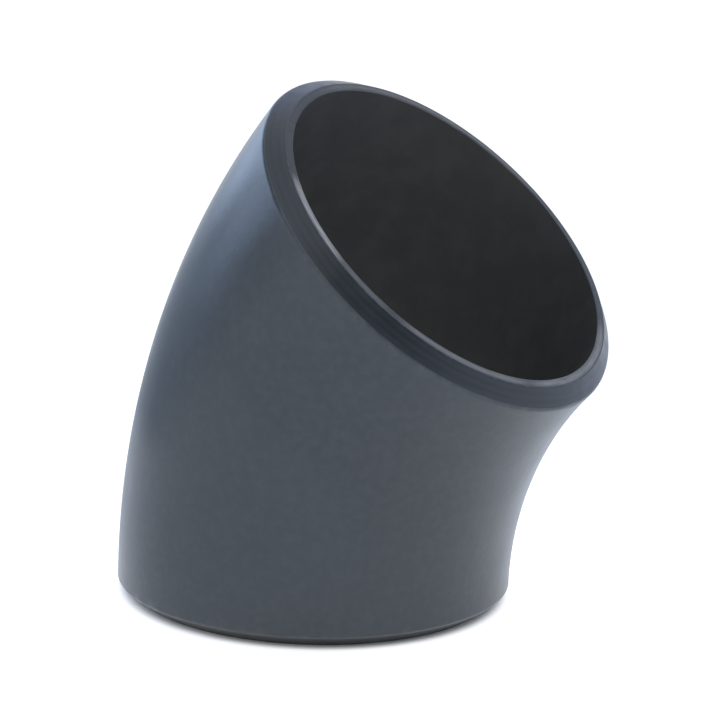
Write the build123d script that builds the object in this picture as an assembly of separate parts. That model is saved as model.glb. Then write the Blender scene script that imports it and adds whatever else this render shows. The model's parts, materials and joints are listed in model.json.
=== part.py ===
"""A 45 degree long radius butt-welding elbow, DN 100 (NPS 4), in painted carbon steel.

The fitting is one seamless piece: a tube wall bent through 45 degrees, with a short straight
stretch sized to the pipe at each end and a machined welding bevel round each mouth.

Frame: millimetres, +Z up.  The origin is the centre of the lower mouth, on the root face that
the elbow stands on.  The lower end's axis is Z, and the tube bends towards +X in the XZ plane.
"""

import math
import os

from build123d import *

# Driving dimensions
OUTSIDE_DIAMETER = 114.3  # of the pipe that the elbow joins
WALL = 7.1
BEND_ANGLE = 45.0  # degrees, between the two end axes
CENTRE_TO_END = 63.5  # from each mouth to the point where the end axes cross
STRAIGHT_END = 2.6  # straight stretch at each mouth, before the bend starts
BEVEL_ANGLE = 37.5  # degrees, between the bevel and the plane of the mouth
ROOT_FACE = 2.4  # flat ring left round the bore, inside the bevel

# Worked out from those
OUTER_RADIUS = OUTSIDE_DIAMETER / 2
BORE_RADIUS = OUTER_RADIUS - WALL
ROOT_RADIUS = BORE_RADIUS + ROOT_FACE
BEVEL_DEPTH = (OUTER_RADIUS - ROOT_RADIUS) * math.tan(math.radians(BEVEL_ANGLE))
BEND_RADIUS = (CENTRE_TO_END - STRAIGHT_END) / math.tan(math.radians(BEND_ANGLE / 2))
CUTTER_OVERRUN = 5.0  # how far the bevel's cutter stands proud of the wall and the mouth


def mouth_frames():
    """The planes of the lower and the upper mouth, each with its normal pointing into the fitting."""
    lower = Plane.XY
    bend = math.radians(BEND_ANGLE)
    along = Vector(math.sin(bend), 0, math.cos(bend))
    bend_end = Vector(
        BEND_RADIUS * (1 - math.cos(bend)), 0, STRAIGHT_END + BEND_RADIUS * math.sin(bend)
    )
    upper = Plane(
        origin=bend_end + along * STRAIGHT_END,
        x_dir=(math.cos(bend), 0, -math.sin(bend)),
        z_dir=-along,
    )
    return lower, upper


def bent_bar(radius):
    """A solid round bar of the fitting's whole centreline: straight end, bend, straight end."""
    lower, upper = mouth_frames()
    bend_axis = Axis((BEND_RADIUS, 0, STRAIGHT_END), (0, 1, 0))
    section = Pos(0, 0, STRAIGHT_END) * Circle(radius)
    bend = revolve(section, axis=bend_axis, revolution_arc=BEND_ANGLE)
    ends = [extrude(frame * Circle(radius), amount=STRAIGHT_END) for frame in (lower, upper)]
    return bend + ends[0] + ends[1]


def bevel_cutter():
    """The ring that a lathe tool removes at a mouth: the mouth is the XY plane, the wall above it."""
    slope = math.tan(math.radians(BEVEL_ANGLE))
    far_radius = OUTER_RADIUS + CUTTER_OVERRUN
    profile = Polygon(
        (ROOT_RADIUS, 0),
        (far_radius, (far_radius - ROOT_RADIUS) * slope),
        (far_radius, -CUTTER_OVERRUN),
        (ROOT_RADIUS, -CUTTER_OVERRUN),
        align=None,
    )
    return revolve(Plane.XZ * profile, axis=Axis.Z)


def elbow_body():
    """The whole fitting: the bent wall with a welding bevel turned on each end."""
    wall = bent_bar(OUTER_RADIUS) - bent_bar(BORE_RADIUS)
    for frame in mouth_frames():
        wall -= frame * bevel_cutter()
    return wall


os.makedirs("parts", exist_ok=True)
export_step(elbow_body(), "parts/elbow_body.step")
print(
    f"bend radius {BEND_RADIUS:.3f}, bore radius {BORE_RADIUS:.3f}, root radius {ROOT_RADIUS:.3f}, "
    f"bevel depth {BEVEL_DEPTH:.3f}"
)
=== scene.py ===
"""The looks of a painted 45 degree butt-welding elbow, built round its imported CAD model.

Lengths are metres, in the CAD's frame: the lower mouth's centre is the origin, the lower end's
axis is Z, and the tube bends towards +X in the XZ plane.
"""

import json
import math

import bpy
import numpy as np
from mathutils import Matrix, Vector


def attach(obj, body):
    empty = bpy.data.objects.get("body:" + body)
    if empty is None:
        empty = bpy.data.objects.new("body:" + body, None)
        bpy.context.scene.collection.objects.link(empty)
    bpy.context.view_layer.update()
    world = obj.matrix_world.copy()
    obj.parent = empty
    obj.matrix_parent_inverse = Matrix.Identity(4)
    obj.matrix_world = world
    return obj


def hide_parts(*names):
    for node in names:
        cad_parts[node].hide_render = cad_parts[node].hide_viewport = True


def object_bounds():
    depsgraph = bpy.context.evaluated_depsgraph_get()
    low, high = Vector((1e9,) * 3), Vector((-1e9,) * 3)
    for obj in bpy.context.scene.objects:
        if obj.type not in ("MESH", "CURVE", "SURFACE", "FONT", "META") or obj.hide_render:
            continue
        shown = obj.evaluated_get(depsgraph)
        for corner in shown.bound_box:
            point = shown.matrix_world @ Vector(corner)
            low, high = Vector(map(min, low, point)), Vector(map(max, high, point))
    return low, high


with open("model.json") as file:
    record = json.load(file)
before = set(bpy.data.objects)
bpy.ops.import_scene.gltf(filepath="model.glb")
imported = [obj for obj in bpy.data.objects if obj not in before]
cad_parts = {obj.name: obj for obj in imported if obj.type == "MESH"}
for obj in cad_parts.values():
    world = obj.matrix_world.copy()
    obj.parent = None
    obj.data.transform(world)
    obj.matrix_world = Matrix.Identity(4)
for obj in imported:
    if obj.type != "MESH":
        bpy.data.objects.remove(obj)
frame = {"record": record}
cad_low, cad_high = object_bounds()

MM = 0.001

# Sizes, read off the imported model
mounts = {m["name"]: m for m in frame["record"]["mounts"]}
lower, upper = mounts["lower_bore"], mounts["upper_bore"]
BEND_ANGLE = math.acos(-Vector(lower["axis"]).dot(Vector(upper["axis"])))
STRAIGHT_END = lower["dims"]["length_mm"] * MM
BEND_RADIUS = (upper["pos_m"][0] - STRAIGHT_END * math.sin(BEND_ANGLE)) / (1 - math.cos(BEND_ANGLE))
BORE_RADIUS = lower["dims"]["r_mm"] * MM
ROOT_RADIUS = 2 * mounts["lower_root_face"]["pos_m"][1] - BORE_RADIUS
HAIR = 0.02 * MM  # how far the skin keeps inside the CAD's own wall
OUTER_RADIUS = (cad_high.y - cad_low.y) / 2 - HAIR
BEVEL_ANGLE = math.radians(37.5)  # as the CAD model has it
BEVEL_DEPTH = (OUTER_RADIUS - ROOT_RADIUS) * math.tan(BEVEL_ANGLE)
OUTLINE_DEPTH = 4 * BEVEL_DEPTH  # how far in the mouth's outline is drawn, past every rounded edge

# Finer shape, which the CAD model leaves out
BORE_EDGE = 0.3 * MM  # radius of each rounded edge
ROOT_EDGE = 0.25 * MM
SHOULDER = 1.1 * MM
GROOVE_PITCH = 0.6 * MM  # turning marks on the bevel and the root face
GROOVE_DEPTH = 0.012 * MM
FORMING_DEPTH = 0.11 * MM  # unevenness left by hot forming
EVEN_SHARE = 0.5  # of that depth
SWELL_SHARE = 0.17
WRINKLE_SHARE = 0.14
# Broad swells, as (waves round the tube, how far they wind along it in radians, start, strength)
SWELLS = (
    (2, 5.1, 0.0, 1.0),
    (3, -8.3, 1.1, 0.7),
)
WRINKLES = 5.5  # along the inside of the bend
WRINKLE_BOW = 0.8  # in radians, as a wrinkle crosses it
NICK_DEPTH = 0.16 * MM
SHALLOWEST_NICK = 0.25  # of that depth
NICK_REACH = (0.9, 2.4)  # mm each way from a nick's middle, least and most
NICK_LIFT = 0.8  # how much of a nick's depth goes along the tube
NICK_INWARD = 0.6  # and how much towards its centre line
NICKS_PER_MOUTH = 14
SEED = 45
RUBBED_AND_GLINT_FADE = 0.4  # the share of a rubbed stretch's half width over which it fades out
# Rubbed stretches of the root face, as (middle, half width, amount). The first two are degrees
# round the mouth, and 0 is the inside of the bend. The bare steel they give is partly wear and
# partly a painted highlight: the stretches and their amounts are set where the root face glints.
RUBBED_AND_GLINT_STRETCHES = (
    (-97, 18, 1.0),
    (-74, 11, 0.22),
    (-36, 26, 0.47),
    (15, 34, 0.6),
    (150, 55, 0.28),
)

# Mesh
AROUND = 480
WALL_ROWS = 58
BORE_ROWS = 42
BEVEL_ROWS = 30
ROOT_ROWS = 8
EDGE_STEPS = 4
SHOULDER_STEPS = 8

# Zones of the skin, numbered as the mesh's material slots are
PAINT, BEVEL, ROOT, BORE = range(4)

# Camera: a three-quarter view from a little above
CAMERA_AZIMUTH = math.radians(39.445)
CAMERA_ELEVATION = math.radians(9.679)
CAMERA_ROLL = math.radians(1.94)
CAMERA_DISTANCE = 444.75 * MM
CAMERA_AIM = Vector((14.86, 0, 68.88)) * MM
CAMERA_LENS = 78.91  # mm, on a sensor 36 mm wide
SENSOR_WIDTH = 36.0

# Light: a white room with patches of other light, and a plain white backdrop behind the fitting.
# A patch is (azimuth, elevation, core, edge, colour), in degrees: it has its own colour out to
# the core's angle from its middle, and blends into what is under it by the edge's.
ROOM_WHITE = (1.05, 1.08, 1.11)
ROOM_PATCHES = (
    (0, 85, 15, 32, (1.5, 1.65, 1.95)),
    (138, 4, 30, 75, (1.0, 1.12, 1.42)),
    (-82, -2, 30, 41, (0.46, 0.52, 0.62)),
    (-84, 1, 8, 17, (0.3, 0.35, 0.43)),
    (-62, 48, 20, 40, (0.2, 0.22, 0.25)),
    (78, 36, 18, 31, (0.22, 0.26, 0.3)),
    (-72, 25, 18, 23, (1.7, 2.18, 3.12)),
    (-104, 28, 17, 23, (1.88, 2.4, 3.3)),
    (-141, 38, 12, 24, (0.72, 0.82, 1.12)),
)
FLOOR_SIZE = 0.8
FLOOR_MIDDLE = Vector((0.06, 0, 0))
FLOOR_GLOW = 0.17  # the floor is lit from below, as a shadowless table is
POOL_CENTRE = Vector((0.35, 0.13, 0))  # the middle of a brighter pool, beside the fitting
POOL_EDGE = 0.6  # how far from there it fades out
POOL_GLOW = 0.56  # what it adds at its middle
RING_GLOW = 0.22  # what a ring round the foot adds, fading to nothing at RING_EDGE
RING_EDGE = 115 * MM
FOOT_DARK = 53 * MM  # none of it comes up under the fitting, out to this far from the foot's middle
FOOT_LIT = 57.5 * MM  # and from here outwards all of it does
# BORE_GLOW is the floor's own glow inside the bore, which lights the bore's inside from below
BORE_GLOW = 2.8  # instead, the bore has light of its own
BORE_LIT = 43 * MM  # in full out to here
BORE_DARK = 48 * MM  # and gone by here


# Shape -------------------------------------------------------------------------------------------

def arc_at(before, corner, after, radius, steps):
    """Points of the arc that rounds a corner of a flat outline."""
    to_before = (before - corner).normalized()
    to_after = (after - corner).normalized()
    half = to_before.angle(to_after) / 2
    centre = corner + (to_before + to_after).normalized() * (radius / math.sin(half))
    start = corner + to_before * (radius / math.tan(half)) - centre
    end = corner + to_after * (radius / math.tan(half)) - centre
    sweep = start.angle(end)
    points = []
    for i in range(steps + 1):
        share = i / steps
        weight_start = math.sin((1 - share) * sweep) / math.sin(sweep)
        weight_end = math.sin(share * sweep) / math.sin(sweep)
        points.append(centre + start * weight_start + end * weight_end)
    return points


def between(start, end, rows):
    """Points inside a straight stretch of outline, without its ends."""
    return [start.lerp(end, i / rows) for i in range(1, rows)]


def mouth_outline():
    """The outline of one mouth, from bore to outer wall, as (height, radius, zone, edge) rows.

    edge is 1 on a rounded edge and 0 on a flat."""
    corners = [
        Vector((OUTLINE_DEPTH, BORE_RADIUS)),
        Vector((0, BORE_RADIUS)),
        Vector((0, ROOT_RADIUS)),
        Vector((BEVEL_DEPTH, OUTER_RADIUS)),
        Vector((OUTLINE_DEPTH, OUTER_RADIUS)),
    ]
    bore_edge = arc_at(*corners[0:3], BORE_EDGE, EDGE_STEPS)
    root_edge = arc_at(*corners[1:4], ROOT_EDGE, EDGE_STEPS)
    shoulder = arc_at(*corners[2:5], SHOULDER, SHOULDER_STEPS)
    rows = [(p, ROOT, 1) for p in bore_edge]
    rows += [(p, ROOT, 0) for p in between(bore_edge[-1], root_edge[0], ROOT_ROWS)]
    rows += [(p, BEVEL, 1) for p in root_edge]
    rows += [(p, BEVEL, 0) for p in between(root_edge[-1], shoulder[0], BEVEL_ROWS)]
    rows += [(p, PAINT, 1) for p in shoulder]
    return [(p.x, p.y, zone, edge) for p, zone, edge in rows]


def tube_point(height, radius, angle):
    """Where a point at this height over the lower mouth lies, on a tube of this radius."""
    reach = BEND_RADIUS - radius * np.cos(angle)
    turn = np.arcsin(np.clip((height - STRAIGHT_END) / reach, 0, 1))
    x = BEND_RADIUS - reach * np.cos(turn)
    z = np.where(height < STRAIGHT_END, height, STRAIGHT_END + reach * np.sin(turn))
    return np.stack([x, radius * np.sin(angle), z], axis=-1)


def mirrored(points):
    """The same points at the other mouth: reflected in the plane that halves the bend."""
    reach = BEND_RADIUS - points[:, 0]
    rise = points[:, 2] - STRAIGHT_END
    c, s = math.cos(BEND_ANGLE), math.sin(BEND_ANGLE)
    x = BEND_RADIUS - (reach * c + rise * s)
    z = STRAIGHT_END + reach * s - rise * c
    return np.stack([x, points[:, 1], z], axis=-1)


def bend_rows(start_height, radius, angle, count):
    """Rows of the tube's wall between the two mouths, without the first and the last."""
    reach = BEND_RADIUS - radius * np.cos(angle)
    first = np.arcsin((start_height - STRAIGHT_END) / reach)
    rows = []
    for i in range(1, count):
        turn = first + (BEND_ANGLE - 2 * first) * (i / count)
        x = BEND_RADIUS - reach * np.cos(turn)
        z = STRAIGHT_END + reach * np.sin(turn)
        rows.append(np.stack([x, radius * np.sin(angle), z], axis=-1))
    return rows


def groove(distance):
    """How deep the turning tool's marks are at this distance along a machined face."""
    return GROOVE_DEPTH * (0.5 - 0.5 * math.cos(2 * math.pi * distance / GROOVE_PITCH))


def forming(share, angle):
    """How far the outer wall is dented inwards by forming, at a share of the bend's length.

    Broad swells wind round the tube, and faint wrinkles cross the inside of the bend. Both die
    out at the mouths."""
    window = math.sin(math.pi * share) ** 0.5
    swell = np.zeros_like(angle)
    for waves, wind, start, strength in SWELLS:
        swell = swell + strength * np.sin(waves * angle + wind * share + start)
    inside = 0.5 * (1 + np.cos(angle))
    wrinkle = inside * np.sin(2 * math.pi * WRINKLES * share + WRINKLE_BOW * np.sin(angle))
    depth = EVEN_SHARE + SWELL_SHARE * swell + WRINKLE_SHARE * wrinkle
    return FORMING_DEPTH * window * depth


def nicks(rng, angle):
    """How deep the handling nicks are round one shoulder."""
    depth = np.zeros_like(angle)
    for _ in range(NICKS_PER_MOUTH):
        middle = rng.uniform(0, 2 * math.pi)
        width = rng.uniform(*NICK_REACH) * MM / OUTER_RADIUS
        deepest = NICK_DEPTH * rng.uniform(SHALLOWEST_NICK, 1.0)
        away = np.angle(np.exp(1j * (angle - middle)))
        depth = np.maximum(depth, deepest * np.exp(-((away / width) ** 2)))
    return depth


def rubbing_and_glint(angle):
    """How bare the root face is rubbed round the mouth, from 0 to 1: partly wear, and partly a
    painted highlight set where the root face glints.
    """
    bare = np.zeros_like(angle)
    for middle, half_width, amount in RUBBED_AND_GLINT_STRETCHES:
        away = np.degrees(np.abs(np.angle(np.exp(1j * (angle - math.radians(middle))))))
        inside = np.clip((half_width - away) / (RUBBED_AND_GLINT_FADE * half_width), 0, 1)
        bare = np.maximum(bare, amount * inside * inside * (3 - 2 * inside))
    return bare


def shoulder_share(rows_to_end):
    """How much of a nick a row takes: all at the shoulder's middle, none at its ends and beyond."""
    if rows_to_end > SHOULDER_STEPS:
        return 0.0
    return math.sin(math.pi * (rows_to_end / SHOULDER_STEPS))


def mouth_rows(rng, angle):
    """One mouth's rows of points, at the lower end, with each row's zone and edge."""
    rows, zones, edges = [], [], []
    nick = nicks(rng, angle)
    run = 0.0
    outline = mouth_outline()
    for i, (height, radius, zone, edge) in enumerate(outline):
        if i:
            run += math.dist(outline[i - 1][:2], (height, radius))
        cut = 0.0 if edge else groove(run)
        on_shoulder = shoulder_share(len(outline) - 1 - i)
        lift = cut + NICK_LIFT * nick * on_shoulder
        inward = NICK_INWARD * nick * on_shoulder
        rows.append(tube_point(height + lift, radius - inward, angle))
        zones.append(zone)
        edges.append(edge)
    return rows, zones, edges


def elbow_rows():
    """Every row of points round the closed outline, with its zone and edge."""
    rng = np.random.default_rng(SEED)
    angle = np.arange(AROUND) * (2 * math.pi / AROUND)
    low, zones, edges = mouth_rows(rng, angle)
    high, _, _ = mouth_rows(rng, angle)
    high = [mirrored(p) for p in high]
    wall_start = mouth_outline()[-1][0]
    wall = []
    for i, points in enumerate(bend_rows(wall_start, OUTER_RADIUS, angle, WALL_ROWS)):
        depth = forming((i + 1) / WALL_ROWS, angle)
        wall.append(points - depth[:, None] * outward(points))
    bore = bend_rows(STRAIGHT_END, BORE_RADIUS, angle, BORE_ROWS)
    rows = low + wall + high[::-1] + bore[::-1]
    all_zones = zones + [PAINT] * len(wall) + zones[::-1] + [BORE] * len(bore)
    all_edges = edges + [0] * len(wall) + edges[::-1] + [0] * len(bore)
    return rows, all_zones, all_edges


def outward(points):
    """Unit vectors out of the tube's centre line, for points on the bend."""
    reach = np.hypot(BEND_RADIUS - points[:, 0], points[:, 2] - STRAIGHT_END)
    centre_x = BEND_RADIUS - (BEND_RADIUS - points[:, 0]) * (BEND_RADIUS / reach)
    centre_z = STRAIGHT_END + (points[:, 2] - STRAIGHT_END) * (BEND_RADIUS / reach)
    away = points - np.stack([centre_x, np.zeros(len(points)), centre_z], axis=-1)
    return away / np.linalg.norm(away, axis=1)[:, None]


def elbow_mesh():
    """The closed skin of the elbow: rows of points joined by quads, with a zone's material each."""
    rows, zones, edges = elbow_rows()
    count = len(rows)
    points = np.concatenate(rows)
    row = np.repeat(np.arange(count), AROUND)
    column = np.tile(np.arange(AROUND), count)
    next_row = (row + 1) % count
    next_column = (column + 1) % AROUND
    quads = np.stack([
        row * AROUND + column,
        row * AROUND + next_column,
        next_row * AROUND + next_column,
        next_row * AROUND + column,
    ], axis=-1)
    mesh = bpy.data.meshes.new("elbow")
    mesh.from_pydata(points.tolist(), [], quads.tolist())
    mesh.polygons.foreach_set("material_index", face_zones(zones))
    mesh.polygons.foreach_set("use_smooth", np.ones(len(quads), bool))
    add_profile_uv(mesh, rows, row, column)
    edge = mesh.attributes.new("edge", "FLOAT", "POINT")
    edge.data.foreach_set("value", np.repeat(np.array(edges, np.float32), AROUND))
    # rubbed: bare steel on the root face, partly wear and partly a painted highlight where it glints
    rubbed = mesh.attributes.new("rubbed", "FLOAT", "POINT")
    bare = rubbing_and_glint(np.arange(AROUND) * (2 * math.pi / AROUND))
    rubbed.data.foreach_set("value", np.tile(bare, count).astype(np.float32))
    mesh.update()
    return mesh


def face_zones(zones):
    """Each face's material slot: the bore's beside a bore row, else the lower of its two rows'."""
    after = zones[1:] + zones[:1]
    faces = [BORE if BORE in (a, b) else min(a, b) for a, b in zip(zones, after)]
    return np.repeat(np.array(faces, np.int32), AROUND)


def add_profile_uv(mesh, rows, row, column):
    """UV in metres: U runs round the tube and V along the outline."""
    firsts = np.array([r[0] for r in rows])
    steps = np.linalg.norm(np.roll(firsts, -1, axis=0) - firsts, axis=1)
    along = np.concatenate([[0.0], np.cumsum(steps)])
    turn = 2 * math.pi * OUTER_RADIUS / AROUND
    left, right = column * turn, (column + 1) * turn
    bottom, top = along[row], along[row + 1]
    corners = np.stack([left, bottom, right, bottom, right, top, left, top], axis=-1)
    layer = mesh.uv_layers.new(name="profile")
    layer.data.foreach_set("uv", corners.ravel().astype(np.float32))


# Materials ---------------------------------------------------------------------------------------

MIX_A, MIX_B, MIX_RESULT = 6, 7, 2  # the colour sockets of a Mix node
WAVE_RADIANS = 20  # a Wave texture runs through this many in each unit, at scale 1


class Nodes:
    """A short way to write a node tree."""

    def __init__(self, tree):
        self.tree = tree

    def add(self, kind, **settings):
        node = self.tree.nodes.new(kind)
        for name, value in settings.items():
            setattr(node, name, value)
        return node

    def plug(self, source, target):
        self.tree.links.new(source, target)

    def ramp(self, value, low, high, out_low=0.0, out_high=1.0):
        """A smooth step from out_low to out_high while the value goes from low to high."""
        node = self.add("ShaderNodeMapRange", interpolation_type="SMOOTHSTEP")
        self.plug(value, node.inputs["Value"])
        node.inputs["From Min"].default_value = low
        node.inputs["From Max"].default_value = high
        node.inputs["To Min"].default_value = out_low
        node.inputs["To Max"].default_value = out_high
        return node.outputs["Result"]

    def times(self, a, b):
        node = self.add("ShaderNodeMath", operation="MULTIPLY")
        self.plug(a, node.inputs[0])
        if isinstance(b, float):
            node.inputs[1].default_value = b
        else:
            self.plug(b, node.inputs[1])
        return node.outputs["Value"]

    def plus(self, a, b):
        node = self.add("ShaderNodeMath", operation="ADD")
        self.plug(a, node.inputs[0])
        self.plug(b, node.inputs[1])
        return node.outputs["Value"]

    def mix(self, share, a, b):
        """A colour between a and b, each a socket or an RGB triple."""
        node = self.add("ShaderNodeMix", data_type="RGBA")
        self.plug(share, node.inputs["Factor"])
        for value, socket in ((a, node.inputs[MIX_A]), (b, node.inputs[MIX_B])):
            if isinstance(value, tuple):
                socket.default_value = (*value, 1.0)
            else:
                self.plug(value, socket)
        return node.outputs[MIX_RESULT]


class Finish(Nodes):
    """A short way to write one material."""

    def __init__(self, name):
        self.material = bpy.data.materials.new(name)
        self.material.use_nodes = True
        super().__init__(self.material.node_tree)
        self.shader = self.tree.nodes["Principled BSDF"]
        self.object_point = self.add("ShaderNodeTexCoord").outputs["Object"]

    def noise(self, size, detail=3.0, roughness=0.5):
        """Noise with features about this size, in metres."""
        node = self.add("ShaderNodeTexNoise")
        self.plug(self.object_point, node.inputs["Vector"])
        node.inputs["Scale"].default_value = 1 / size
        node.inputs["Detail"].default_value = detail
        node.inputs["Roughness"].default_value = roughness
        return node.outputs["Fac"]

    def attribute(self, name):
        return self.add("ShaderNodeAttribute", attribute_name=name).outputs["Fac"]

    def bump(self, height, distance, strength=1.0, under=None):
        node = self.add("ShaderNodeBump")
        self.plug(height, node.inputs["Height"])
        node.inputs["Distance"].default_value = distance
        node.inputs["Strength"].default_value = strength
        if under is not None:
            self.plug(under, node.inputs["Normal"])
        return node.outputs["Normal"]

    def streaks(self, length, width):
        """Noise drawn out round the mouth, as scuffs left by a turning tool are."""
        uv = self.add("ShaderNodeUVMap", uv_map="profile")
        stretch = self.add("ShaderNodeMapping")
        stretch.inputs["Scale"].default_value = (1 / length, 1 / width, 1)
        self.plug(uv.outputs["UV"], stretch.inputs["Vector"])
        node = self.add("ShaderNodeTexNoise")
        node.inputs["Scale"].default_value = 1.0
        node.inputs["Detail"].default_value = 4.0
        node.inputs["Roughness"].default_value = 0.6
        self.plug(stretch.outputs["Vector"], node.inputs["Vector"])
        return node.outputs["Fac"]

    def turning(self, radian):
        """The fine marks of a turning tool: a wave along the outline, a radian of it this long."""
        uv = self.add("ShaderNodeUVMap", uv_map="profile")
        wave = self.add("ShaderNodeTexWave", bands_direction="Y")
        self.plug(uv.outputs["UV"], wave.inputs["Vector"])
        wave.inputs["Scale"].default_value = 1 / (WAVE_RADIANS * radian)
        wave.inputs["Distortion"].default_value = 0.6
        wave.inputs["Detail"].default_value = 2.0
        return wave.outputs["Fac"]

    def finished(self, colour, roughness, normal, **constants):
        """The finished material. The constants are other sockets of its shader, _ for a space."""
        self.plug(colour, self.shader.inputs["Base Color"])
        self.plug(roughness, self.shader.inputs["Roughness"])
        self.plug(normal, self.shader.inputs["Normal"])
        for name, value in constants.items():
            self.shader.inputs[name.replace("_", " ")].default_value = value
        return self.material


def satin_paint():
    """Blue-black satin paint: faint orange peel, drifting tone, a little dust and rubbed edges."""
    n = Finish("satin_paint")
    drift = n.ramp(n.noise(45 * MM, detail=2.0), 0.35, 0.65)
    tone = n.mix(drift, (0.025, 0.032, 0.038), (0.03, 0.038, 0.045))
    bloom = n.ramp(n.noise(2.4 * MM, detail=3.0, roughness=0.6), 0.35, 0.75)
    dusty = n.mix(n.times(bloom, 0.075), tone, (0.13, 0.145, 0.16))
    rubbed = n.ramp(n.noise(3.5 * MM, detail=6.0, roughness=0.65), 0.5, 0.62)
    worn = n.mix(n.times(n.times(rubbed, n.attribute("edge")), 0.12), dusty, (0.12, 0.125, 0.13))
    roughness = n.ramp(n.noise(22 * MM, detail=4.0), 0.3, 0.7, 0.285, 0.34)
    peel = n.bump(n.noise(1.5 * MM, detail=1.0), 0.03 * MM, 0.8)
    n.shader.inputs["Sheen Tint"].default_value = (0.45, 0.7, 1.0, 1.0)
    return n.finished(worn, roughness, peel, IOR=1.45, Sheen_Weight=0.06, Sheen_Roughness=0.35)


def machined_bevel():
    """The turned bevel under a thin dark lacquer, a shade darker than the painted wall."""
    n = Finish("machined_bevel")
    marks = n.turning(0.3 * MM)
    tone = n.mix(marks, (0.012, 0.015, 0.018), (0.017, 0.021, 0.025))
    smear = n.ramp(n.streaks(14 * MM, 0.8 * MM), 0.45, 0.7)
    smeared = n.mix(n.times(smear, 0.5), tone, (0.022, 0.027, 0.031))
    bare = n.ramp(n.noise(2.5 * MM, detail=6.0, roughness=0.65), 0.5, 0.6)
    worn = n.mix(n.times(n.times(bare, n.attribute("edge")), 0.3), smeared, (0.1, 0.1, 0.1))
    roughness = n.ramp(n.noise(5 * MM, detail=3.0), 0.3, 0.7, 0.28, 0.38)
    turned = n.bump(marks, 0.006 * MM, 0.6)
    pitted = n.bump(n.noise(0.5 * MM, detail=2.0), 0.006 * MM, 0.4, under=turned)
    return n.finished(worn, roughness, pitted, IOR=1.42)


def root_wear_and_glint():
    """The root face: dark lacquer, rubbed back to turned steel partly where the fitting has been
    stood and partly as a painted highlight where the root face glints.
    """
    n = Finish("root_wear_and_glint")
    marks = n.turning(0.25 * MM)
    lacquer = n.mix(marks, (0.014, 0.018, 0.022), (0.022, 0.027, 0.031))
    steel = n.mix(marks, (0.207, 0.204, 0.196), (0.3, 0.293, 0.274))
    scuffed = n.ramp(n.streaks(9 * MM, 0.35 * MM), 0.3, 0.6, 0.35, 1.0)
    # bare steel: partly wear, partly a painted highlight where the root face glints
    bare = n.times(scuffed, n.attribute("rubbed"))
    roughness = n.ramp(n.noise(2 * MM, detail=3.0), 0.3, 0.7, 0.3, 0.42)
    turned = n.bump(marks, 0.006 * MM, 0.6)
    n.plug(bare, n.shader.inputs["Metallic"])
    return n.finished(n.mix(bare, lacquer, steel), roughness, turned, IOR=1.36)


def dark_bore():
    """The bore, under flat black lacquer over forming scale."""
    n = Finish("dark_bore")
    scale_patch = n.ramp(n.noise(9 * MM, detail=6.0, roughness=0.6), 0.42, 0.62)
    tone = n.mix(scale_patch, (0.035, 0.0355, 0.036), (0.04, 0.0405, 0.041))
    speck = n.ramp(n.noise(0.7 * MM, detail=2.0), 0.62, 0.75)
    speckled = n.mix(n.times(speck, 0.25), tone, (0.065, 0.063, 0.06))
    roughness = n.ramp(n.noise(12 * MM, detail=4.0), 0.3, 0.7, 0.62, 0.8)
    flaky = n.bump(n.noise(2.2 * MM, detail=6.0, roughness=0.6), 0.03 * MM, 0.5)
    return n.finished(speckled, roughness, flaky, IOR=1.25)


def floor_glow(n):
    """How strongly the floor glows: a pool and a ring, cut off under the fitting, and the bore."""
    world_point = n.add("ShaderNodeNewGeometry").outputs["Position"]
    from_pool = n.add("ShaderNodeVectorMath", operation="DISTANCE")
    n.plug(world_point, from_pool.inputs[0])
    from_pool.inputs[1].default_value = POOL_CENTRE
    from_foot = n.add("ShaderNodeVectorMath", operation="LENGTH")
    n.plug(world_point, from_foot.inputs[0])
    out = from_foot.outputs["Value"]
    pool = n.ramp(from_pool.outputs["Value"], 0, POOL_EDGE, FLOOR_GLOW + POOL_GLOW, FLOOR_GLOW)
    ring = n.ramp(out, FOOT_LIT, RING_EDGE, RING_GLOW, 0.0)
    clear_of_foot = n.ramp(out, FOOT_DARK, FOOT_LIT)
    inside = n.ramp(out, BORE_LIT, BORE_DARK, BORE_GLOW, 0.0)
    return n.plus(n.times(n.plus(pool, ring), clear_of_foot), inside)


def pale_floor():
    """White acrylic, lit from below."""
    n = Finish("pale_floor")
    tone = n.mix(n.ramp(n.noise(0.4, detail=4.0), 0.35, 0.65), (0.96, 0.93, 0.88), (0.97, 0.94, 0.89))
    roughness = n.ramp(n.noise(0.1, detail=3.0), 0.3, 0.7, 0.75, 0.85)
    grain = n.bump(n.noise(1.5 * MM, detail=2.0), 0.05 * MM, 0.2)
    n.plug(floor_glow(n), n.shader.inputs["Emission Strength"])
    n.shader.inputs["Emission Color"].default_value = (1.0, 0.99, 1.0, 1.0)
    n.material.cycles.emission_sampling = "NONE"
    return n.finished(tone, roughness, grain)


# Stage -------------------------------------------------------------------------------------------

def add_floor():
    bpy.ops.mesh.primitive_plane_add(size=FLOOR_SIZE, location=FLOOR_MIDDLE)
    floor = bpy.context.object
    floor.name = "floor"
    floor.data.materials.append(pale_floor())


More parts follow.
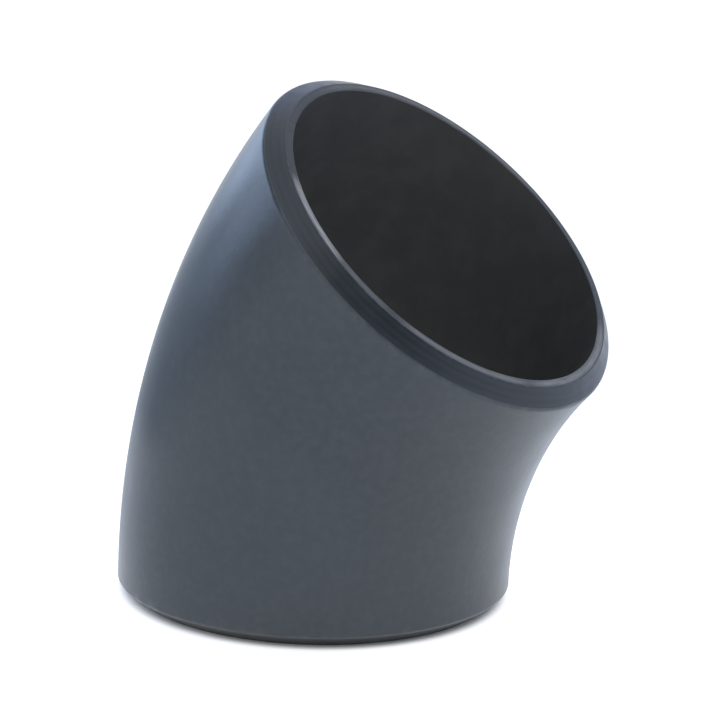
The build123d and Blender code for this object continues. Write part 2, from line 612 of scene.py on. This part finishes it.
def direction(azimuth, elevation):
    """The unit vector towards this side of the room; azimuth 0 is -Y and 90 degrees is +X."""
    level = math.cos(elevation)
    return Vector((math.sin(azimuth) * level, -math.cos(azimuth) * level, math.sin(elevation)))


def add_world():
    """A white room with soft patches of other light. The camera itself sees plain white behind."""
    world = bpy.data.worlds.new("studio")
    world.use_nodes = True
    n = Nodes(world.node_tree)
    towards = n.add("ShaderNodeTexCoord").outputs["Generated"]
    colour = ROOM_WHITE
    for azimuth, elevation, core, edge, tint in ROOM_PATCHES:
        facing = n.add("ShaderNodeVectorMath", operation="DOT_PRODUCT")
        facing.inputs[1].default_value = direction(math.radians(azimuth), math.radians(elevation))
        n.plug(towards, facing.inputs[0])
        faint, full = math.cos(math.radians(edge)), math.cos(math.radians(core))
        colour = n.mix(n.ramp(facing.outputs["Value"], faint, full), colour, tint)
    straight = n.add("ShaderNodeLightPath").outputs["Is Camera Ray"]
    n.plug(n.mix(straight, colour, ROOM_WHITE), world.node_tree.nodes["Background"].inputs["Color"])
    bpy.context.scene.world = world


def add_camera():
    back = direction(CAMERA_AZIMUTH, CAMERA_ELEVATION)
    right = Vector((0, 0, 1)).cross(back).normalized()
    up = back.cross(right)
    rolled_right = right * math.cos(CAMERA_ROLL) + up * math.sin(CAMERA_ROLL)
    rolled_up = up * math.cos(CAMERA_ROLL) - right * math.sin(CAMERA_ROLL)
    data = bpy.data.cameras.new("camera")
    data.sensor_width = SENSOR_WIDTH
    data.lens = CAMERA_LENS
    data.clip_start = 0.01
    camera = bpy.data.objects.new("camera", data)
    turn = Matrix((rolled_right, rolled_up, back)).transposed().to_4x4()
    camera.matrix_world = Matrix.Translation(CAMERA_AIM + back * CAMERA_DISTANCE) @ turn
    bpy.context.scene.collection.objects.link(camera)
    bpy.context.scene.camera = camera


def add_elbow():
    elbow = bpy.data.objects.new("elbow", elbow_mesh())
    bpy.context.scene.collection.objects.link(elbow)
    for material in (satin_paint(), machined_bevel(), root_wear_and_glint(), dark_bore()):
        elbow.data.materials.append(material)
    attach(elbow, "root")
    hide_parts("elbow_body")


add_elbow()
add_floor()
add_world()
add_camera()
bpy.context.scene.view_settings.view_transform = "Standard"
